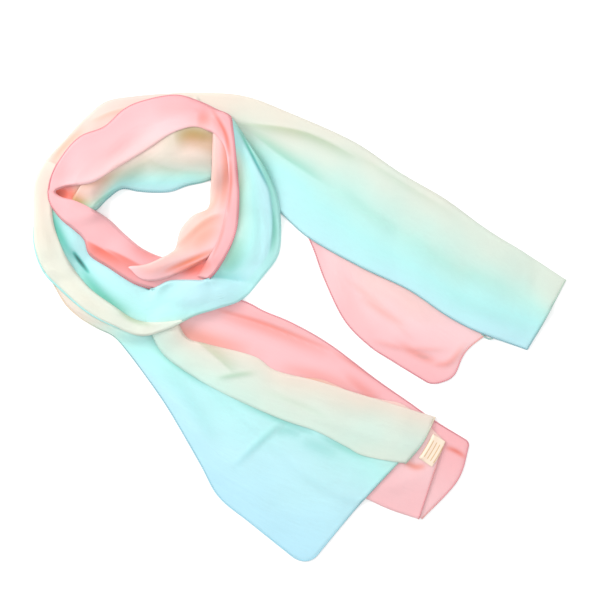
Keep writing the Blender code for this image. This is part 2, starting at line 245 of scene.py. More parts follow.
# Its aqua panel: edge under the cream one, middle, blue hem
TAIL_1_AQUA = [
    (-215, 60, 0.56, -222, 56, 0.52, -228, 52, 0.47),
    (-196, 34, 0.56, -205, 29, 0.52, -213, 25, 0.47),
    (-171, 16, 0.58, -186, 9, 0.53, -200, 12, 0.48),
    (-148, 6, 0.64, -168, 2, 0.62, -184, 2, 0.56),
    (-130, 0, 0.70, -152, -12, 0.72, -168, -6, 0.66),
    (-112, -18, 0.72, -134, -34, 0.80, -154, -22, 0.86),
    (-84, -34, 0.76, -112, -60, 0.86, -134, -49, 0.93),
    (-52, -52, 0.76, -84, -92, 0.86, -116, -76, 0.95),
    (-12, -70, 0.76, -52, -118, 0.89, -90, -121, 0.97),
    (20, -82, 0.78, -22, -136, 0.92, -73, -151, 1.0),
    (46, -92, 0.74, 6, -150, 0.90, -44, -175, 1.0),
    (98, -110, 0.62, 56, -155, 0.88, 6, -215, 1.0),
]

# Its cream layer on top: back edge, middle, front edge
TAIL_1_CREAM = [
    (-112, 12, 0.48, -124, 8, 0.58, -138, 4, 0.64),
    (-102, -7, 0.48, -112, -12, 0.58, -124, -22, 0.64),
    (-84, -13, 0.48, -88, -28, 0.58, -94, -44, 0.64),
    (-42, -24, 0.48, -50, -44, 0.58, -58, -63, 0.63),
    (-22, -37, 0.48, -20, -60, 0.58, -17, -81, 0.62),
    (14, -46, 0.47, 15, -70, 0.58, 15, -92, 0.61),
    (50, -57, 0.47, 46, -82, 0.59, 42, -106, 0.60),
    (73, -64, 0.47, 66, -88, 0.60, 58, -114, 0.58),
    (122, -79, 0.47, 110, -103, 0.60, 95, -121, 0.57),
]

# The label on tail 1's end: its two long sides, with a dye that its own material leaves out
LABEL = [
    (120, -94, 0.5, 131, -101, 0.5),
    (114, -105, 0.5, 126, -113, 0.5),
    (107, -116, 0.5, 119, -124, 0.5),
]

# Creases, each a soft ridge or trough through three places: x, y, x, y, x, y, width mm, height mm,
# how much painted shade darkens the dye there, and the side of its line it stays on: -1 right, 0 both, 1 left
CREASES = {
    "outer": [
        (-62, 188, 2, 179, 54, 155, 7, 1.3, 0.60, -1),
        (-52, 184, -18, 157, 22, 131, 8, 0.8, 0.45, 1),
        (40, 166, 88, 136, 140, 104, 5, 0.9, 0.18, -1),
        (32, 130, 61, 106, 90, 85, 6, 1.2, 0.14, 0),
        (81, 90, 130, 61, 189, 34, 8, 1.0, 0.10, 0),
        (0, 162, 36, 145, 76, 118, 6, 0.8, 0, 0),
        (117, 97, 162, 72, 202, 48, 6, 0.9, 0, 0),
        (126, 36, 166, 16, 207, 0, 6, 0.7, 0.1, 0),
        (-189, 188, -171, 196, -150, 202, 4, 0.8, 0.35, -1),
        (-224, 149, -211, 165, -194, 181, 3, -0.5, 0.45, 0),
        (-238, 144, -236, 103, -229, 72, 4, 0.6, 0, 0),
        (-223, 147, -225, 133, -227, 117, 3.4, -0.5, 0.9, 0),
        (-228, 116, -216, 85, -201, 58, 5, -0.8, 1.0, 0),
        (-202, 62, -181, 33, -152, 11, 6.5, -0.6, 0.9, 0),
        # A dark slit: painted shadow, its shade past 1
        (-205, 71, -199, 62, -189, 49, 1.9, -2, 2.2, 0),
        (-188, 46, -172, 26, -152, 10, 2.4, -0.8, 0.9, 0),
        (-130, 24, -94, 29, -54, 35, 8, 0.9, 0, 0),
        (-108, 46, -76, 45, -47, 41, 12, 2.0, 0, -1),
        (-92, 47, -72, 46, -46, 42, 8, -0.2, 0.6, 1),
        (-56, 182, -41, 153, -26, 124, 1.7, -1.2, 1.0, 0),
        (-26, 124, -23, 90, -26, 68, 3, -0.4, 0.6, 0),
        (-54, 181, -31, 135, -23, 81, 7, -0.6, 0.55, 1),
        (-55, 182, -41, 153, -27, 124, 4, 0.9, 0, -1),
        (-27, 124, -24, 96, -27, 70, 4, 0.9, 0, -1),
        (-61, 162, -53, 126, -56, 85, 4, -0.3, 0.45, 0),
        (-56, 85, -61, 64, -70, 48, 9, -0.3, 0.55, 0),
        (-45, 126, -41, 90, -45, 55, 5, 0.8, 0, 0),
        (-34, 117, -31, 85, -34, 61, 3, 0.6, 0, 0),
    ],
    "cream_fold": [
        (-164, 18, -151, 9, -133, 4, 2.5, -0.4, 0.6, 0),
        (-234, 126, -232, 94, -223, 64, 4, 0.7, 0.05, 0),
        (-216, 54, -194, 28, -171, 10, 4, 0.6, 0.05, 0),
    ],
    "inner": [
        (-93, 189, -86, 189, -78, 189, 8, -0.3, 0.55, 0),
        (-80, 199, -67, 176, -62, 153, 2.0, -0.8, 0.85, 0),
        (-62, 155, -62, 130, -65, 103, 1.8, -0.7, 0.7, 0),
        (-66, 106, -71, 84, -80, 62, 1.8, -0.5, 0.45, 0),
        (-96, 200, -78, 190, -62, 168, 5, -0.3, 0.35, -1),
        (-216, 130, -180, 153, -144, 180, 10, 1.0, 0.06, 0),
        (-194, 136, -160, 160, -126, 183, 8, -0.6, 0.08, 0),
        (-135, 196, -112, 199, -94, 196, 7, 0.7, 0.1, 0),
        (-223, 117, -218, 132, -211, 153, 5, 0.8, 0.1, 0),
        (-193, 81, -176, 72, -150, 57, 11, 1.0, 1.0, -1),
        (-176, 74, -158, 66, -136, 54, 12, 0.4, 0.8, -1),
        (-153, 76, -135, 67, -123, 65, 5, -0.3, 0.4, 0),
        (-110, 54, -95, 55, -79, 61, 7, -0.6, 0.95, 0),
        (-214, 112, -194, 103, -171, 88, 5, 0.7, 0, 0),
    ],
    "peach": [
        (-114, 72, -88, 96, -70, 105, 2.0, 0.9, 0.5, 0),
        (-112, 74, -88, 96, -68, 105, 13, -0.4, 0.55, -1),
        (-124, 51, -99, 62, -76, 72, 3.0, -1.0, 1.0, 0),
        (-118, 52, -97, 60, -76, 69, 8, -0.4, 0.9, -1),
        (-100, 74, -86, 84, -72, 96, 9, -0.3, 0.55, 0),
        (-76, 178, -75, 144, -78, 112, 3, 0.6, 0.15, 0),
        (-68, 182, -66, 144, -70, 106, 4.5, -0.6, 0.75, 0),
        (-72, 150, -74, 120, -92, 100, 4, 0.4, 0.3, 0),
        (-148, 54, -132, 53, -112, 60, 4, 0.7, 0.3, 0),
    ],
    "far_sheet": [
        # The khaki under the pink's overhang is painted shadow
        (-114, 171, -95, 175, -66, 168, 10, -1, 1.0, 0),
        (-106, 168, -90, 168, -64, 157, 7, -0.4, 0.6, 0),
        (-146, 159, -116, 145, -70, 141, 8, -0.6, 0.2, -1),
        (-170, 134, -150, 141, -134, 152, 6, -0.4, 0.25, 0),
        (-190, 108, -177, 120, -160, 131, 3.5, 0.9, 0.55, -1),
        (-204, 126, -178, 133, -155, 144, 4, -0.3, 0.4, 0),
        (-212, 120, -200, 115, -186, 104, 7, -0.2, 1.0, 0),
        (-110, 152, -96, 154, -80, 147, 5, 0.8, 0.0, 0),
    ],
    "turn": [
        # The hollow's dark red is painted shade, past 1 in its middle for a painted shadow
        (-228, 122, -217, 122, -206, 122, 9, -0.5, 1.0, 0),
        (-212, 128, -203, 119, -194, 108, 8, -0.5, 1.0, 0),
        (-226, 121, -216, 121, -205, 122, 6, 0, 1.6, 0),
    ],
    "tail_1_under": [
        (-76, 18, -32, 5, 32, -20, 2.6, -1.2, 0.7, 0),
        (-74, 16, -32, 3, 30, -22, 7, 0.7, 0.47, -1),
        (-63, 21, -22, 10, 32, -11, 4, 0.9, 0.14, 0),
        (27, -18, 63, -40, 101, -65, 2.4, -0.5, 0.47, 0),
        (-128, 4, -90, -8, -42, -22, 9, 0.5, 0.6, 0),
        (-20, -34, 16, -42, 60, -58, 6, 0.4, 0.35, 0),
        (39, -40, 58, -55, 72, -65, 5, 0.9, 0.45, 0),
        (131, -106, 141, -110, 150, -116, 2.2, -0.5, 0.81, 0),
    ],
    "tail_1_pale": [
        (65, -137, 86, -141, 112, -126, 6, 0.9, 0, 0),
        (-32, -44, 0, -43, 36, -53, 5, 0, 0.5, 0),
        (93, -119, 104, -124, 114, -123, 2.9, -0.4, 0.68, 0),
    ],
    "tail_1_cream": [
        (-102, -4, -77, -24, -59, -41, 9, 1.1, 0.41, 1),
        (-74, -44, -58, -41, -41, -39, 2.4, 0.7, 0.47, 0),
        (0, -71, 36, -85, 81, -101, 6, 1.1, 0, 0),
        (-32, -56, 0, -68, 27, -81, 3, -0.7, 0.14, 0),
    ],
    "tail_1_aqua": [
        (-58, -64, -17, -82, 15, -95, 3.5, -1.1, 0.5, 0),
        (-135, -11, -112, -31, -81, -54, 3.5, -0.7, 0.45, 0),
        (15, -95, 40, -107, 65, -117, 4, -0.7, 0.4, 0),
        (-14, -82, -34, -99, -59, -123, 3, 1.1, 0.3, 0),
        (-22, -94, -11, -91, 2, -97, 5, -0.5, 0.35, 0),
        (0, -100, 16, -106, 36, -114, 6, -0.5, 0.3, 0),
        (-99, -63, -61, -108, -22, -164, 12, 1.6, 0, 0),
        (0, -119, 25, -144, 40, -173, 10, 1.4, 0, 0),
        (-126, -29, -99, -65, -76, -101, 7, 1.1, 0.16, 0),
    ],
    "tail_2_under": [
        (88, -13, 106, -22, 124, -31, 4, -1.1, 0.5, 0),
        (118, -31, 134, -30, 148, -14, 3, 1.2, 0.42, 0),
        (54, 30, 74, 16, 96, 2, 4, -0.8, 0.28, 0),
        (34, 50, 66, 26, 104, -12, 3, 0.9, 0.16, 0),
        (64, 44, 94, 25, 117, 7, 5, 1.6, 0, 0),
        (63, -9, 94, -17, 132, -18, 3, 0.9, 0.27, 0),
        (27, 72, 43, 27, 67, -11, 8, 1.1, 0.07, 0),
    ],
}

pile = np.zeros(GRID)  # mm, the height of all that is laid so far


def smooth(points, parts):
    """A soft curve through rows of points, with this many parts between each two."""
    line = np.asarray(points, float)
    ends = np.concatenate([[2 * line[0] - line[1]], line, [2 * line[-1] - line[-2]]])
    t = (np.arange(parts) / parts).reshape((1, -1) + (1,) * (line.ndim - 1))
    before, here, there, after = (p[:, None] for p in (ends[:-3], ends[1:-2], ends[2:-1], ends[3:]))
    curve = (
        2 * here
        + (there - before) * t
        + (2 * before - 5 * here + 4 * there - after) * t**2
        + (3 * here - before - 3 * there + after) * t**3
    ) / 2
    return np.concatenate([curve.reshape((-1,) + line.shape[1:]), line[-1:]])


def between(first, second, share):
    """The place this share of the way from the first to the second."""
    return first + (second - first) * share


def edged(grid):
    """The same grid with two finer places beside each long edge, where the cloth turns down."""
    width = np.linalg.norm(grid[:, 1, :2] - grid[:, 0, :2], axis=1).mean()
    if width < 0.9:  # mm, a facet with no room for them
        return grid
    shares = [min(rim / width, most) for rim, most in zip(RIM, (0.3, 0.65))]
    left = [between(grid[:, 0], grid[:, 1], s)[:, None] for s in shares]
    right = [between(grid[:, -1], grid[:, -2], s)[:, None] for s in reversed(shares)]
    return np.concatenate([grid[:, :1], *left, grid[:, 1:-1], *right, grid[:, -1:]], axis=1)


def rounded(plan, along, across, radius):
    """The same places with the last end's corners rounded: the radius at the first edge and at the last."""
    run = np.gradient(plan, axis=0)
    step = np.gradient(plan, axis=1)
    run, step = (d / np.maximum(np.linalg.norm(d, axis=2, keepdims=True), 1e-9) for d in (run, step))
    for gap, reach, turn in ((across, radius[0], 1), (across[:, -1:] - across, radius[1], -1)):
        if reach:
            a = np.clip(1 - (along[-1] - along) / reach, 0, 1)
            b = np.clip(1 - gap / reach, 0, 1)
            back, side = a * (1 - np.sqrt(1 - b**2 / 2)), b * (1 - np.sqrt(1 - a**2 / 2))
            plan = plan - reach * back[..., None] * run + turn * reach * side[..., None] * step
    return plan


class Stretch:
    """A stretch of the strip, as a grid of places along and across it.

    Each place has its x and y, its dye and the painted shade that darkens it, its distances along and across the cut,
    and, once it is laid, the height of the cloth's underside.
    """

    def __init__(self, rows, facet=FACET, corners=(0, 0)):
        table = np.array(rows, float).reshape(len(rows), -1, 3)
        fine = smooth(table, FINE)
        step = np.linalg.norm(np.diff(fine[..., :2], axis=0), axis=2).mean(axis=1)
        length = np.append(0, np.cumsum(step))
        where = np.linspace(0, length[-1], round(length[-1] / facet) + 1)
        where = np.sort(np.concatenate([where, RIM, length[-1] - np.array(RIM)]))
        self.row = np.interp(where, length, np.arange(len(length)) / FINE)
        even = np.empty((len(where),) + table.shape[1:])
        for rail in range(table.shape[1]):
            for k in range(3):
                even[:, rail, k] = np.interp(where, length, fine[:, rail, k])
        widest = np.linalg.norm(even[:, -1, :2] - even[:, 0, :2], axis=1).max()
        parts = max(2, round(widest / facet / (table.shape[1] - 1)))
        grid = edged(np.stack([smooth(section, parts) for section in even]))
        self.plan, self.dye = grid[..., :2], grid[..., 2]
        self.low = np.full(self.dye.shape, np.nan)
        self.thick = np.full(self.dye.shape, CLOTH)
        self.painted_shade = np.zeros(self.dye.shape)
        self.along = where[:, None] + 0 * self.dye
        side = np.linalg.norm(np.diff(self.plan, axis=1), axis=2)
        self.across = np.concatenate([np.zeros((len(where), 1)), np.cumsum(side, axis=1)], axis=1)
        self.plan = rounded(self.plan, self.along, self.across, corners)


def spread(field, cells):
    """The greatest height within this many cells."""
    for axis in range(2):
        field = np.max([np.roll(field, k, axis) for k in range(-cells, cells + 1)], axis=0)
    return field


def soften(field, cells):
    """The mean height within this many cells."""
    for axis in range(2):
        field = np.mean([np.roll(field, k, axis) for k in range(-cells, cells + 1)], axis=0)
    return field


def height_at(field, plan):
    """A field's height between its cells' centres."""
    where = (plan - CORNER) / CELL - 0.5
    base = np.clip(np.floor(where).astype(int), 0, np.array(GRID) - 2)
    x, y = np.moveaxis(where - base, -1, 0)
    i, j = base[..., 0], base[..., 1]
    near = field[i, j] * (1 - y) + field[i, j + 1] * y
    far = field[i + 1, j] * (1 - y) + field[i + 1, j + 1] * y
    return near * (1 - x) + far * x


def creased(plan, creases):
    """How far the cloth stands off its bed at each place, and how much painted shade darkens its dye there."""
    relief, painted_shade = np.zeros(plan.shape[:2]), np.zeros(plan.shape[:2])
    for x0, y0, x1, y1, x2, y2, width, height, shade_amount, side in creases:
        line = smooth([(x0, y0), (x1, y1), (x2, y2)], CREASE_STEPS)
        place = np.linspace(0, 1, len(line))
        best, taper, hand = (np.full(plan.shape[:2], value) for value in (np.inf, 0.0, 0.0))
        for k in range(len(line) - 1):
            run, away = line[k + 1] - line[k], plan - line[k]
            t = np.clip((away @ run) / (run @ run), 0, 1)
            gap = np.linalg.norm(away - t[..., None] * run, axis=2)
            nearer = gap < best
            best = np.where(nearer, gap, best)
            taper = np.where(nearer, place[k] + t * (place[k + 1] - place[k]), taper)
            turned = (run[0] * away[..., 1] - run[1] * away[..., 0]) / np.linalg.norm(run)
            hand = np.where(nearer, turned, hand)
        shape = np.sin(np.pi * np.clip(taper, 0.02, 0.98)) ** 0.6 * np.exp(-((best / width) ** 2))
        if side:
            shape = shape * (0.5 + 0.5 * np.tanh(hand * side / FADE))
        relief += height * shape
        painted_shade = np.maximum(painted_shade, shade_amount * shape)
    return relief, painted_shade


def ripple(plan, amount, seed):
    """Slow, shallow unevenness all over: six waves, each with its own direction and length."""
    turn = np.random.default_rng(seed)
    field = 0
    for _ in range(6):
        angle, phase = turn.uniform(0, 2 * np.pi, 2)
        length = turn.uniform(22, 70)  # mm
        field = field + np.sin((plan @ [np.cos(angle), np.sin(angle)]) * 2 * np.pi / length + phase)
    return amount * field / 3


def soft_rows(z):
    """Evens out the steps between neighbouring places."""
    for _ in range(2):
        padded = np.pad(z, 1, mode="edge")
        z = (padded[:-2, 1:-1] + padded[2:, 1:-1] + padded[1:-1, :-2] + padded[1:-1, 2:] + 4 * z) / 8
    return z


def add(plan, top):
    """Raises the pile to a surface's top."""
    steps = np.linspace(0, 1, 5)  # spots along a facet, closer than the pile's cells
    u, v = (w[None, None] for w in np.meshgrid(steps, steps, indexing="ij"))
    surface = np.dstack([plan, top])
    corners = surface[:-1, :-1], surface[1:, :-1], surface[1:, 1:], surface[:-1, 1:]
    a, b, c, d = (corner[:, :, None, None] for corner in corners)
    spots = np.where(
        (u >= v)[..., None],
        a + u[..., None] * (b - a) + v[..., None] * (c - b),
        a + v[..., None] * (d - a) + u[..., None] * (c - d),
    )
    cells = np.floor((spots[..., :2] - CORNER) / CELL).astype(int)
    np.maximum.at(pile, (cells[..., 0], cells[..., 1]), spots[..., 2])


def lay(stretch, rows=None, creases=None, loft=0.6, uneven=0.3, seed=1, crown=None, edges=(1, 1), ends=(0, 0)):
    """Lets a stretch, or some rows of it, down on the pile and adds it to the pile.

    Loft, mm, is how far it stands off its bed, uneven, mm, how much that varies, and crown, mm, how thick a heap
    is in its middle. Edges and ends say how far each one comes down to what lies below it, from 0 to 1.
    """
    first, last = rows or (0, np.inf)
    picked = np.flatnonzero((stretch.row >= first - 1e-6) & (stretch.row <= last + 1e-6))
    plan = stretch.plan[picked]
    # A smooth bed over the pile, and the pile's own tops, which hold the cloth up
    bed = soften(soften(spread(pile, REACH), REACH // 2), REACH // 2)
    raw = height_at(spread(pile, 1), plan)
    # Painted shade along its creases: deeper, darker dye where they lie in shadow
    relief, painted_shade = creased(plan, CREASES.get(creases, ()))
    z = np.maximum(height_at(bed, plan) + loft + ripple(plan, uneven, seed) + relief, raw)
    z = np.maximum(soft_rows(z), raw)
    across, far = stretch.across[picked], stretch.along[picked]
    hold = np.zeros(z.shape)
    gaps = (across, across[:, -1:] - across, far - far[0], far[-1] - far)
    for gap, share in zip(gaps, (*edges, *ends)):
        hold = np.maximum(hold, share * np.exp(-((gap / LIP) ** 2)))
    z = z * (1 - hold) + raw * hold
    # Where the rows beside are already laid, it bends to meet them
    known = ~np.isnan(stretch.low[:, 0])
    for end, beside in ((0, picked[0] - 1), (-1, picked[-1] + 1)):
        if 0 <= beside < len(known) and known[beside]:
            away = np.abs(far - stretch.along[beside])
            z = z + (stretch.low[beside][None] - z[end][None]) * np.exp(-((away / BLEND) ** 2))
            z = np.maximum(z, np.maximum(raw - SINK, 0))
    stretch.low[picked] = z
    stretch.painted_shade[picked] = painted_shade
    if crown is not None:
        share = across / across[:, -1:]
        reach = (far - far[0]) / (far[-1] - far[0])
        rise = np.sin(np.pi * share) ** 0.7 * np.minimum(1, 2.2 * np.sin(np.pi * reach))
        stretch.thick[picked] = CLOTH + crown * rise
    add(plan, z + stretch.thick[picked] + AIR)


def inset(rows, share):
    """The two outer lines of a stretch, brought this much nearer to its middle."""
    table = np.array(rows, float).reshape(len(rows), -1, 3)[:, [0, -1]]
    centre = table[..., :2].mean(axis=1, keepdims=True)
    table[..., :2] = centre + (table[..., :2] - centre) * share
    return table.reshape(len(rows), -1)


def mesh_of(name, points, faces, cut, dye, material):
    """A closed mesh with two maps: place on the cut, and dye with the painted shade that darkens it."""
    mesh = bpy.data.meshes.new(name)
    mesh.from_pydata(((points - MIDDLE) / 1000).tolist(), [], faces)
    shaped = bmesh.new()
    shaped.from_mesh(mesh)
    bmesh.ops.recalc_face_normals(shaped, faces=shaped.faces)
    shaped.to_mesh(mesh)
    shaped.free()
    mesh.shade_smooth()
    corner = np.zeros(len(mesh.loops), int)
    mesh.loops.foreach_get("vertex_index", corner)
    for layer, values in (("cut", cut), ("dye", dye)):
        mesh.uv_layers.new(name=layer).data.foreach_set("uv", values[corner].ravel())
    mesh.materials.append(material)
    piece = bpy.data.objects.new(name, mesh)
    bpy.context.scene.collection.objects.link(piece)
    return piece


def belongs(piece, nodes):
    """Ties a piece to the body, and hides the CAD nodes it stands for."""
    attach(piece, "root")
    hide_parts(*nodes)
    return piece


def quads(a, b, c, d):
    """Faces from four grids of corner numbers."""
    return np.stack([a, b, c, d], axis=-1).reshape(-1, 4).tolist()


def shell(name, stretch, material, nodes):
    """The cloth's upper and lower faces and its edges."""
    rows, places = stretch.dye.shape
    under = np.dstack([stretch.plan, stretch.low])
    over = under.copy()
    over[..., 2] += stretch.thick
    low, top = np.arange(2 * rows * places).reshape(2, rows, places)
    faces = quads(low[:-1, :-1], low[:-1, 1:], low[1:, 1:], low[1:, :-1])
    faces += quads(top[:-1, :-1], top[1:, :-1], top[1:, 1:], top[:-1, 1:])
    for edge in (0, -1):
        faces += quads(low[edge, :-1], low[edge, 1:], top[edge, 1:], top[edge, :-1])
        faces += quads(low[:-1, edge], low[1:, edge], top[1:, edge], top[:-1, edge])
    points = np.concatenate([under.reshape(-1, 3), over.reshape(-1, 3)])
    cut = np.stack([stretch.along.ravel(), stretch.across.ravel()], axis=1) / 1000
    # The dye map carries the dye and the painted shade that darkens it
    dye = np.stack([stretch.dye.ravel(), stretch.painted_shade.ravel()], axis=1)
    piece = mesh_of(name, points, faces, np.tile(cut, (2, 1)), np.tile(dye, (2, 1)), material)
    return belongs(piece, nodes)


def tube(name, path, radius, dye, material, painted_shade):
    """A round cord of cloth along a path, with closed ends."""
    path = np.asarray(path, float)
    run = np.gradient(path, axis=0)
    run /= np.maximum(np.linalg.norm(run, axis=1, keepdims=True), 1e-9)
    side = np.cross(run, (0, 0, 1))
    side /= np.maximum(np.linalg.norm(side, axis=1, keepdims=True), 1e-9)
    up = np.cross(side, run)
    turn = np.linspace(0, 2 * np.pi, SIDES, endpoint=False)[None, :, None]
    round_it = np.cos(turn) * side[:, None] + np.sin(turn) * up[:, None]
    rings = path[:, None] + np.broadcast_to(radius, len(path))[:, None, None] * round_it
    number = np.arange(len(path) * SIDES).reshape(-1, SIDES)
    beside = np.roll(number, -1, axis=1)
    faces = quads(number[:-1], beside[:-1], beside[1:], number[1:])
    faces += [number[0][::-1].tolist(), number[-1].tolist()]
    length = np.append(0, np.cumsum(np.linalg.norm(np.diff(path, axis=0), axis=1)))
    round_cut = np.arange(SIDES) * HEM * 0.8  # mm, about a facet's width times its number
    cut = np.stack([np.repeat(length, SIDES), np.tile(round_cut, len(path))], axis=1) / 1000
    # The cord's dye, and one painted shade amount for all of it
    shade = np.stack([np.repeat(dye, SIDES), np.full(number.size, painted_shade)], axis=1)
    return mesh_of(name, rings.reshape(-1, 3), faces, cut, shade, material)


def side_of(stretch, edge, first=0, last=np.inf):
    """The places along one long edge of a stretch, between two rows, and their dye."""
    picked = (stretch.row >= first) & (stretch.row <= last)
    return path_of(stretch, np.s_[picked, edge])


def end_of(stretch, end):
    """The places across one end of a stretch, and their dye."""
    return path_of(stretch, np.s_[end, :])


def path_of(stretch, at):
    """A path just above the middle of the cloth, high enough for a hem to rest on the floor."""
    z = np.maximum(stretch.low[at] + CLOTH / 2 + 0.15, HEM)
    return np.column_stack([stretch.plan[at], z]), stretch.dye[at]


def hem(name, path, nodes, slot, radius=HEM, material=None, painted_shade=1.0):
    """A rolled hem along a path of a stretch, or a cord of another radius, material and painted shade."""
    places, dye = path
    return belongs(tube(name, places, radius, dye, material or ROLLED_HEM, painted_shade), nodes)


def colour(text):
    """A hex colour as linear light."""
    parts = [int(text[k : k + 2], 16) / 255 for k in (1, 3, 5)]
    return tuple(p / 12.92 if p <= 0.04045 else ((p + 0.055) / 1.055) ** 2.4 for p in parts) + (1.0,)


def node(tree, kind, settings=(), links=()):
    """Adds a node, sets its settings or inputs by name or number, and links its inputs to outputs."""
    made = tree.nodes.new(kind)
    for name, value in dict(settings).items():
        if isinstance(name, str) and hasattr(made, name) and name not in made.inputs:
            setattr(made, name, value)
        else:
            made.inputs[name].default_value = value
    for name, source in dict(links).items():
        tree.links.new(made.inputs[name], source)
    return made


# The dye across the strip, the painted shade for its creases, folds and hollows, and the dye of the hems: place on the
# dye's scale, colour
DYES = [
    (0.00, "#F8B2B4"),
    (0.06, "#FABEC2"),
    (0.20, "#FACFD2"),
    (0.28, "#FBDBDD"),
    (0.35, "#F7D9D1"),
    (0.42, "#F2DFD5"),
    (0.50, "#EFE9DD"),
    (0.60, "#E2F0E6"),
    (0.68, "#CEF4ED"),
    (0.76, "#C6F6F4"),
    (0.88, "#CDF3F8"),
    (1.00, "#C8EFFA"),
]
# Painted shade: deeper, darker colours for creases, folds and hollows, where the cloth lies in shadow
PAINTED_SHADE_DYES = [
    (0.00, "#E9705F"),
    (0.10, "#EE8272"),
    (0.22, "#F08F7A"),
    (0.34, "#F2A582"),
    (0.44, "#C6AC78"),
    (0.52, "#B9C79E"),
    (0.62, "#8FCBAC"),
    (0.76, "#72CDB9"),
    (0.90, "#86D2DA"),
    (1.00, "#98CCE4"),
]
HEM_DYES = [
    (0.00, "#C9566A"),
    (0.22, "#D67A82"),
    (0.36, "#DFA78E"),
    (0.48, "#D8C4A6"),
    (0.60, "#93B9A8"),
    (0.76, "#68ABA6"),
    (0.90, "#6FA9B4"),
    (1.00, "#8CCBDD"),
]


def ramp(tree, source, stops):
    """A colour ramp from a table of places and hex colours."""
    made = node(tree, "ShaderNodeValToRGB", (), {"Fac": source})
    while len(made.color_ramp.elements) < len(stops):
        made.color_ramp.elements.new(0.5)
    for stop, (place, text) in zip(made.color_ramp.elements, stops):
        stop.position = place
        stop.color = colour(text)
    return made.outputs["Color"]


def new_material(name):
    """A material with an empty tree."""
    material = bpy.data.materials.new(name)
    material.use_nodes = True
    material.node_tree.nodes.clear()
    return material, material.node_tree


def maps(tree):
    """The cut's map, and the dye and its painted shade from the other map."""
    cut = node(tree, "ShaderNodeUVMap", {"uv_map": "cut"}).outputs[0]
    dye = node(tree, "ShaderNodeUVMap", {"uv_map": "dye"}).outputs[0]
    split = node(tree, "ShaderNodeSeparateXYZ", (), {"Vector": dye})
    return cut, split.outputs["X"], split.outputs["Y"]


def bands(tree, cut, direction, scale):
    """Soft bands across the cut, 0.314 m / scale apart."""
    settings = {"bands_direction": direction, "Scale": scale}
    return node(tree, "ShaderNodeTexWave", settings, {"Vector": cut}).outputs["Fac"]


def noise(tree, place, scale, detail):
    """Cloudy noise from 0 to 1."""
    settings = {"Scale": scale, "Detail": detail}
    return node(tree, "ShaderNodeTexNoise", settings, {"Vector": place}).outputs["Fac"]


def moved(tree, place, setting, value):
    """The same places scaled or turned."""
    return node(tree, "ShaderNodeMapping", {setting: value}, {"Vector": place}).outputs[0]


def maths(tree, operation, *terms, clamp=False):
    """A calculation whose terms are numbers or outputs."""
    numbers = {k: term for k, term in enumerate(terms) if isinstance(term, float)}
    outputs = {k: term for k, term in enumerate(terms) if k not in numbers}
    settings = {"operation": operation, "use_clamp": clamp, **numbers}
    return node(tree, "ShaderNodeMath", settings, outputs).outputs[0]


def bump(tree, strength, distance, **links):
    """A normal raised by a height, this many metres at most, over an earlier normal if there is one."""
    return node(tree, "ShaderNodeBump", {"Strength": strength, "Distance": distance}, links).outputs[0]


def mixed(tree, settings, links):
    """Two colours mixed."""
    return node(tree, "ShaderNodeMixRGB", settings, links).outputs[0]


def see_through(tree, tint, normal, looks, through, clear):
    """The lit cloth, joined with the light that comes through it and the gaps between its yarns."""
    cloth = node(tree, "ShaderNodeBsdfPrincipled", looks, {"Base Color": tint, "Normal": normal}).outputs[0]
    back = node(tree, "ShaderNodeBsdfTranslucent", (), {"Color": tint, "Normal": normal}).outputs[0]
    lit = node(tree, "ShaderNodeMixShader", {"Fac": through}, {1: cloth, 2: back}).outputs[0]
    gaps = node(tree, "ShaderNodeBsdfTransparent").outputs[0]
    seen = node(tree, "ShaderNodeMixShader", {"Fac": clear}, {1: lit, 2: gaps}).outputs[0]
    node(tree, "ShaderNodeOutputMaterial", (), {"Surface": seen})


def chiffon():
    """Polyester chiffon: a very fine plain weave of twisted yarn that lets light and shapes through.

    Its dye runs across the cut, uneven by a little where it took less, and painted shade deepens it in creases, hollows
    and folds where it lies doubled.
    The weave, drawn coarse at 1.4 mm, gives a faint grain, and the twist of the yarn a soft pucker and a low sheen.
    """
    material, tree = new_material("polyester_chiffon")
    cut, dye, painted_shade = maps(tree)
    drift = maths(tree, "MULTIPLY_ADD", noise(tree, cut, 16.0, 2.0), 0.10, -0.05)
    dyed = maths(tree, "ADD", dye, drift)
    shade_amount = node(tree, "ShaderNodeClamp", (), {"Value": painted_shade}).outputs[0]
    dye_and_painted_shade = {"Color1": ramp(tree, dyed, DYES), "Color2": ramp(tree, dyed, PAINTED_SHADE_DYES)}
    tint = mixed(tree, (), {"Fac": shade_amount, **dye_and_painted_shade})
    # Painted shade past 1 is a painted shadow inside a fold, darker still
    past = maths(tree, "SUBTRACT", painted_shade, 1.0, clamp=True)
    shadow = {"blend_type": "MULTIPLY", "Color2": colour("#B0A8A8")}
    tint = mixed(tree, shadow, {"Fac": past, "Color1": tint})
    weave = maths(tree, "MAXIMUM", bands(tree, cut, "X", 220.0), bands(tree, cut, "Y", 220.0))
    pucker = noise(tree, cut, 240.0, 3.0)
    drape = noise(tree, moved(tree, cut, "Scale", (14.0, 60.0, 1.0)), 1.0, 3.0)
    fine = bump(tree, 0.10, 0.0002, Height=weave)
    soft = bump(tree, 0.12, 0.0006, Height=pucker, Normal=fine)
    normal = bump(tree, 0.35, 0.003, Height=drape, Normal=soft)
    looks = {"Roughness": 0.68, "Specular IOR Level": 0.3, "Sheen Weight": 0.2, "Sheen Roughness": 0.4}
    see_through(tree, tint, normal, looks, through=0.3, clear=0.12)
    return material


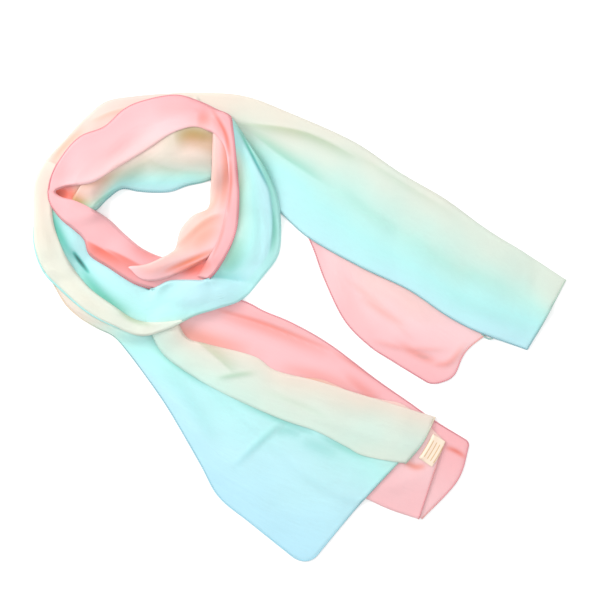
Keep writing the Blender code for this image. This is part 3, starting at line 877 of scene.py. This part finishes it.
def rolled_hem():
    """The same chiffon rolled on itself and overcast: denser, so darker, with slanted stitches 1.5 mm apart."""
    material, tree = new_material("rolled_chiffon_hem")
    cut, dye, _ = maps(tree)
    stitches = bands(tree, moved(tree, cut, "Rotation", (0.0, 0.0, 0.6)), "X", 210.0)
    normal = bump(tree, 0.6, 0.0003, Height=stitches)
    thread = maths(tree, "MULTIPLY", stitches, 0.3)
    tint = mixed(tree, {"Color2": (1, 1, 1, 1)}, {"Fac": thread, "Color1": ramp(tree, dye, HEM_DYES)})
    looks = {"Roughness": 0.75, "Specular IOR Level": 0.25, "Sheen Weight": 0.2}
    see_through(tree, tint, normal, looks, through=0.1, clear=0.02)
    return material


def label_tape():
    """A woven satin label: close ribs across a cream tape, with plain tan lines woven in and no words."""
    material, tree = new_material("woven_label_tape")
    cut, _, _ = maps(tree)
    woven = maths(tree, "MAXIMUM", bands(tree, cut, "Y", 260.0), bands(tree, cut, "X", 520.0))
    normal = bump(tree, 0.25, 0.0002, Height=woven)
    place = node(tree, "ShaderNodeSeparateXYZ", (), {"Vector": cut}).outputs
    # Lines 0.8 mm wide and 3.4 mm apart, on the middle 17 mm of the tape's length
    line = maths(tree, "LESS_THAN", maths(tree, "PINGPONG", place["Y"], 0.0017), 0.0004)
    inside = maths(tree, "COMPARE", place["X"], 0.0135, 0.0085)
    colours = {"Color1": colour("#F1DDC8"), "Color2": colour("#D2AE7E")}
    tint = mixed(tree, colours, {"Fac": maths(tree, "MULTIPLY", line, inside)})
    looks = {"Roughness": 0.5, "Specular IOR Level": 0.4, "Sheen Weight": 0.1}
    see_through(tree, tint, normal, looks, through=0.1, clear=0.0)
    return material


CHIFFON = chiffon()
ROLLED_HEM = rolled_hem()
LABEL_TAPE = label_tape()

tail_2_under, tail_2_tuck = Stretch(TAIL_2_UNDER, corners=(6, 0)), Stretch(TAIL_2_TUCK)
outer, inner, cream_fold = Stretch(OUTER), Stretch(INNER), Stretch(CREAM_FOLD)
tail_1_under, tail_1_pale = Stretch(TAIL_1_UNDER, corners=(4, 0)), Stretch(TAIL_1_PALE)
tail_1_aqua, tail_1_cream = Stretch(TAIL_1_AQUA, corners=(0, 15)), Stretch(TAIL_1_CREAM)
far_sheet, turn_floor, peach = Stretch(FAR_SHEET), Stretch(TURN), Stretch(PEACH)
label = Stretch(LABEL, LABEL_FACET)

# The layers hidden in the ring, each stretch of them one heap a little narrower than what covers it. The far one
# and the right one reach from one table's first line to another's last.
far_rows = [under[:3] + over[-3:] for under, over in zip(INNER[8:17], FAR_SHEET)]
right_rows = [under[:3] + over[-3:] for under, over in zip(OUTER[33:26:-1], PEACH[:7])]
back_core, left_core, far_core, near_core, front_core, right_core = (
    Stretch(inset(rows, share), HEAP_FACET)
    for rows, share in (
        (OUTER[8:14], 0.8),
        (OUTER[12:19], 0.8),
        (far_rows, 0.8),
        (INNER[19:27], 0.8),
        (OUTER[19:27], 0.72),
        (right_rows, 0.84),
    )
)

# The order in which the scarf was put down, from the lowest layer up
lay(tail_2_under, creases="tail_2_under", edges=(0.6, 1), ends=(0, 0.6), seed=2)
lay(tail_2_tuck, ends=(0, 1))
lay(outer, TAIL_2_ROWS, "outer", edges=(1, 0.6), ends=(0.6, 0), seed=3)
lay(back_core, crown=4)
lay(left_core, crown=6)
lay(front_core, crown=5)
lay(outer, LEFT_ROWS, "outer", seed=3)
lay(tail_1_under, creases="tail_1_under", edges=(0.6, 1), ends=(0, 0.6), seed=4)
lay(tail_1_pale, creases="tail_1_pale", ends=(0, 0.6), seed=5)
lay(tail_1_aqua, creases="tail_1_aqua", edges=(1, 0.6), ends=(0, 0.6), seed=6)
lay(tail_1_cream, creases="tail_1_cream", ends=(0, 0.6), seed=7)
lay(label, loft=0.2, uneven=0, ends=(1, 1))
lay(cream_fold, (0, 4), "cream_fold", ends=(1, 0), seed=8)
lay(far_core, crown=6)
lay(near_core, crown=5)
lay(turn_floor, creases="turn")
lay(far_sheet, creases="far_sheet", ends=(0, 1), seed=9)
lay(inner, NEAR_ROWS, "inner", seed=10)
lay(right_core, crown=5)
lay(peach, creases="peach", seed=11)
lay(outer, RIGHT_ROWS, "outer", seed=3)
lay(inner, FAR_ROWS, "inner", ends=(1, 0), seed=10)
lay(outer, FRONT_ROWS, "outer", seed=3)
lay(cream_fold, (4, 10), "cream_fold", seed=8)

OUTER_NODES = ["tail_2_folded", "back_outer_layer", "left_outer_layer", "front_aqua_band", "right_aqua_band"]
INNER_NODES = ["far_pink_band", "near_pink_band", "left_turn", "right_pink_ridge"]

# A small curl of hem at tail 2's edge, x, y and z in mm, and a thin blue edge that shows left of the cream fold
CURL = smooth([(164, -4, 1.2), (168, -7.5, 1.5), (171, -8.5, 1.4), (174, -8, 1.1)], 8)
BLUE_EDGE, _ = side_of(cream_fold, 0, 2.2, 7.2)
BLUE_RADIUS = 1.15 * np.sin(np.linspace(0.1, np.pi - 0.1, len(BLUE_EDGE))) ** 0.6  # mm, thinner to its ends

# Each stretch of cloth: name, grid, CAD nodes, slot, its cut's widest width m, length m and area m2, what it lies
# on, and its rolled hems as (name, path), with a radius, material and painted shade if they are not a hem's own
CLOTHS = [
    (
        "tail_2_under_layer",
        tail_2_under,
        ["tail_2_folded"],
        "aqua_chiffon",
        (0.153, 0.319, 0.0330),
        ["floor"],
        [("tail_2_pink_hem", side_of(tail_2_under, 0, 1)), ("tail_2_pink_end_hem", end_of(tail_2_under, -1))],
    ),
    ("tail_2_tuck", tail_2_tuck, ["tail_2_folded"], "aqua_chiffon", (0.039, 0.337, 0.0113), ["tail_2_under_layer"], []),
    (
        "outer_pass",
        outer,
        OUTER_NODES,
        "aqua_chiffon",
        (0.096, 0.923, 0.0560),
        ["tail_2_tuck", "back_hidden_cloth", "left_hidden_cloth", "front_hidden_cloth", "right_hidden_cloth"],
        [
            ("tail_2_blue_hem", side_of(outer, -1, 0, 6)),
            ("tail_2_end_hem", end_of(outer, 0)),
            ("tail_2_hem_curl", (CURL, np.full(len(CURL), 0.70))),
        ],
    ),
    (
        "cream_fold",
        cream_fold,
        ["left_outer_layer", "front_aqua_band"],
        "cream_chiffon",
        (0.027, 0.233, 0.0045),
        ["outer_pass"],
        [("left_blue_edge", (BLUE_EDGE, np.full(len(BLUE_EDGE), 0.8)), BLUE_RADIUS, CHIFFON, 0.3)],
    ),
    (
        "tail_1_under_layer",
        tail_1_under,
        ["tail_1_folded"],
        "pink_chiffon",
        (0.097, 0.293, 0.0240),
        ["floor"],
        [("tail_1_pink_hem", side_of(tail_1_under, 0)), ("tail_1_pink_end_hem", end_of(tail_1_under, -1))],
    ),
    (
        "tail_1_pale_layer",
        tail_1_pale,
        ["tail_1_folded"],
        "pink_chiffon",
        (0.097, 0.286, 0.0155),
        ["tail_1_under_layer"],
        [("tail_1_pale_end_hem", end_of(tail_1_pale, -1))],
    ),
    (
        "tail_1_aqua_layer",
        tail_1_aqua,
        ["tail_1_aqua_panel"],
        "aqua_chiffon",
        (0.140, 0.363, 0.0240),
        ["tail_1_pale_layer", "floor"],
        [("tail_1_blue_hem", side_of(tail_1_aqua, -1)), ("tail_1_blue_end_hem", end_of(tail_1_aqua, -1))],
    ),
    (
        "tail_1_cream_layer",
        tail_1_cream,
        ["tail_1_folded"],
        "pink_chiffon",
        (0.052, 0.265, 0.0113),
        ["tail_1_aqua_layer"],
        [("tail_1_cream_end_hem", end_of(tail_1_cream, -1))],
    ),
    (
        "far_sheet",
        far_sheet,
        ["far_aqua_band"],
        "aqua_chiffon",
        (0.054, 0.143, 0.0060),
        ["far_hidden_cloth"],
        [("far_blue_hem", side_of(far_sheet, -1))],
    ),
    ("turn_floor", turn_floor, ["left_turn"], "pink_chiffon", (0.028, 0.032, 0.0008), ["far_hidden_cloth"], []),
    (
        "inner_pass",
        inner,
        INNER_NODES,
        "pink_chiffon",
        (0.049, 0.500, 0.0148),
        ["near_hidden_cloth", "far_sheet", "peach_panel"],
        [("loop_pink_hem", side_of(inner, 0))],
    ),
    ("peach_panel", peach, ["right_peach_band"], "cream_chiffon", (0.039, 0.186, 0.0048), ["right_hidden_cloth"], []),
]
for name, grid, nodes, slot, (width, length, area), below, hems in CLOTHS:
    cloth = shell(name, grid, CHIFFON, nodes)
    sewn = [hem(title, path, nodes, slot, *more) for title, path, *more in hems]

tape = shell("label_tape", label, LABEL_TAPE, ["label"])

# The heaps of hidden layers: name, grid, slot, and the cut's widest width m, length m and area m2
HIDDEN = [
    ("back", back_core, "cream_chiffon", (0.049, 0.124, 0.0054)),
    ("left", left_core, "cream_chiffon", (0.044, 0.130, 0.0045)),
    ("far", far_core, "pink_chiffon", (0.069, 0.145, 0.0085)),
    ("near", near_core, "pink_chiffon", (0.032, 0.124, 0.0033)),
    ("front", front_core, "aqua_chiffon", (0.039, 0.143, 0.0045)),
    ("right", right_core, "aqua_chiffon", (0.077, 0.123, 0.0067)),
]
for place, grid, slot, (width, length, area) in HIDDEN:
    heap = shell(place + "_hidden_cloth", grid, CHIFFON, [place + "_hidden_layers"])


def studio():
    """A pale floor, a broad soft lamp above and a lower one from the back left, and a camera straight above."""
    scene = bpy.context.scene
    bpy.ops.mesh.primitive_plane_add(size=6)
    floor = bpy.context.object
    floor.name = "floor"
    paper = bpy.data.materials.new("matt_paper")
    paper.use_nodes = True
    surface = paper.node_tree.nodes["Principled BSDF"].inputs
    surface["Base Color"].default_value = colour("#F4F4F4")
    surface["Roughness"].default_value = 0.9
    floor.data.materials.append(paper)
    world = bpy.data.worlds.new("studio")
    world.use_nodes = True
    sky = world.node_tree.nodes["Background"].inputs
    sky["Color"].default_value = (1, 1, 1, 1)
    sky["Strength"].default_value = 0.75
    scene.world = world
    for name, place, size, power in (
        ("overhead", (0.2, 0.3, 1.6), 1.2, 11),
        ("window", (-1.1, 0.7, 0.7), 0.6, 15),
    ):
        lamp = bpy.data.lights.new(name, "AREA")
        lamp.size = size
        lamp.energy = power
        bulb = bpy.data.objects.new(name, lamp)
        bulb.location = place
        bulb.rotation_euler = (-bulb.location).to_track_quat("-Z", "Y").to_euler()
        scene.collection.objects.link(bulb)
    height, sensor = 1.6, 36  # m above the floor, and mm
    view, level = 0.54, 0.006  # m seen across, and how high above the floor that is
    camera = bpy.data.objects.new("camera", bpy.data.cameras.new("camera"))
    camera.location = (-0.00025, 0.02518, height)
    camera.data.sensor_width = sensor
    camera.data.lens = sensor * (height - level) / view
    scene.collection.objects.link(camera)
    scene.camera = camera
    scene.view_settings.view_transform = "Standard"


studio()
